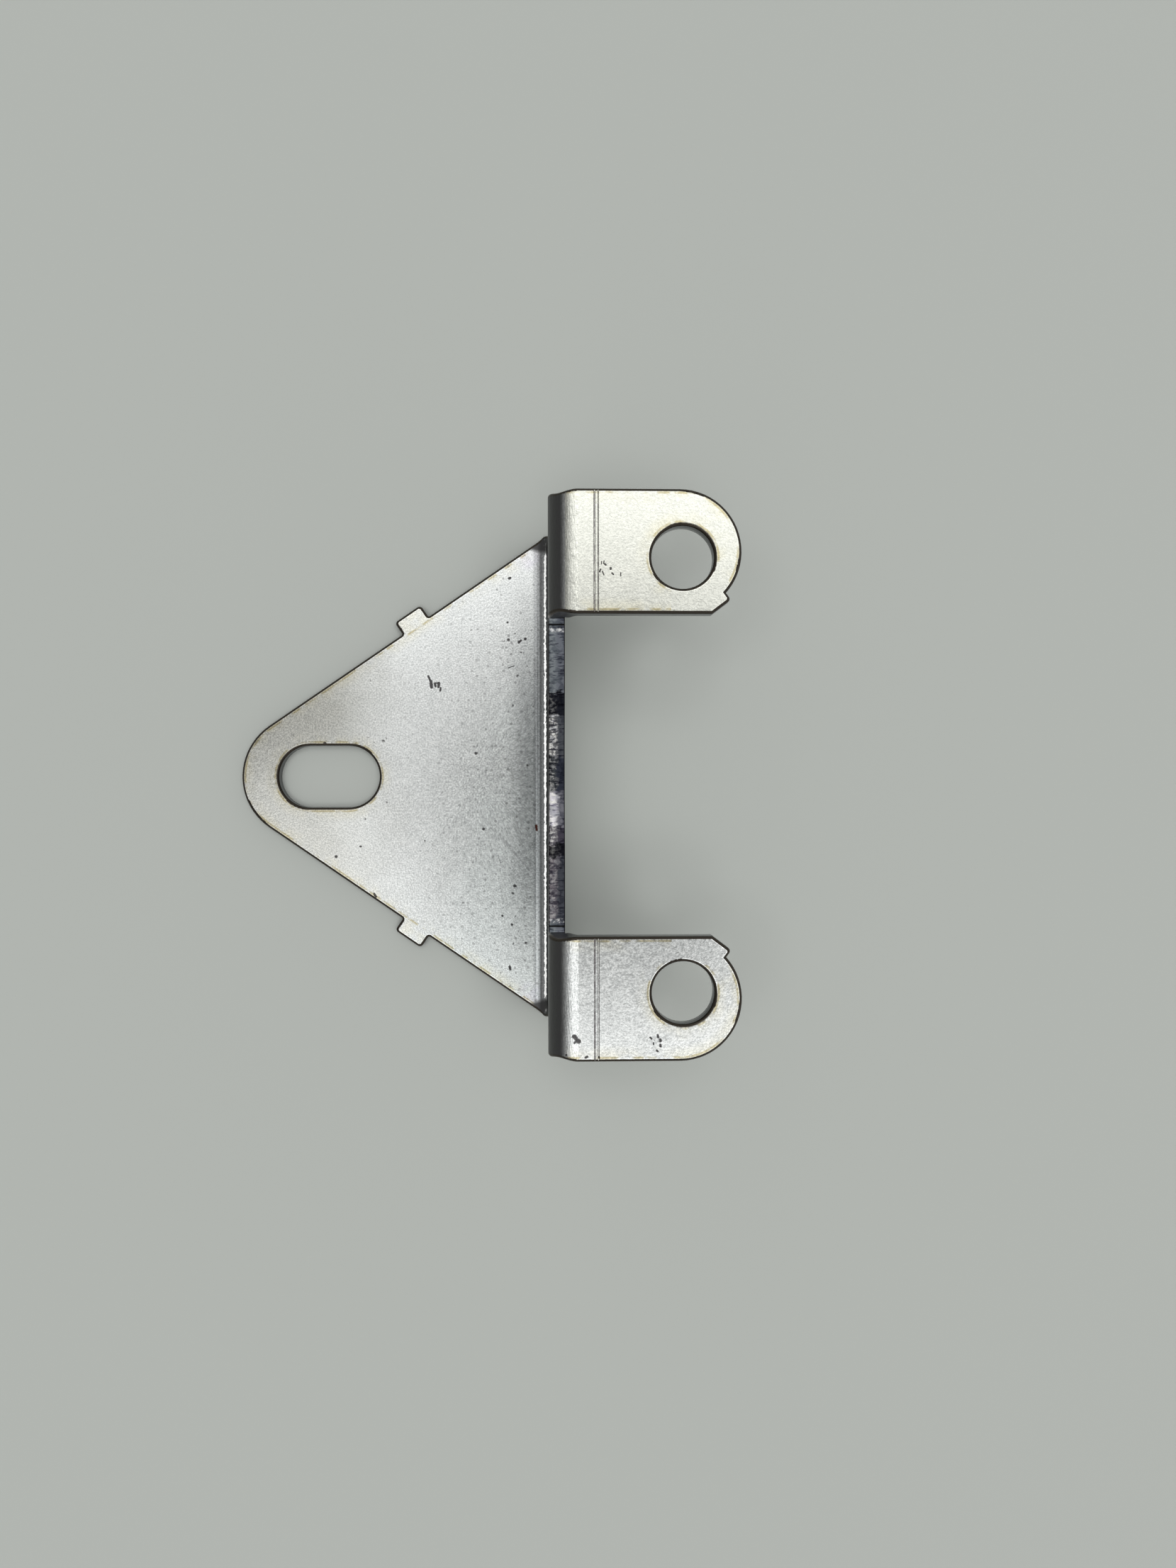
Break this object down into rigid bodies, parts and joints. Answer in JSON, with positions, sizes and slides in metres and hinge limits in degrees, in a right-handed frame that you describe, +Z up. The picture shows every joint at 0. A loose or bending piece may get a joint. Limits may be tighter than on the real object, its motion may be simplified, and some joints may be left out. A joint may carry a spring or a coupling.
{
  "type": "stamped mounting bracket",
  "caption": "Folded sheet-steel bracket: a tapered slotted plate, an upright web with a dipped top edge, and round-ended ears, each with a bolt hole.",
  "frame": {"origin": "on the ground under the middle of the overall box, at the plate's underside", "axes": "+Z up, square to the plate and the ears; +X from the plate's round tip towards the ears; Y along the web, from ear to ear"},
  "size_m": [0.0642, 0.0662, 0.03],
  "materials": {
    "zinc_plated_steel": "matt zinc-plated sheet with fine grain, darker sheared edges"
  },
  "bodies": {
    "root": {"bracket": "zinc_plated_steel"}
  },
  "joints": []
}
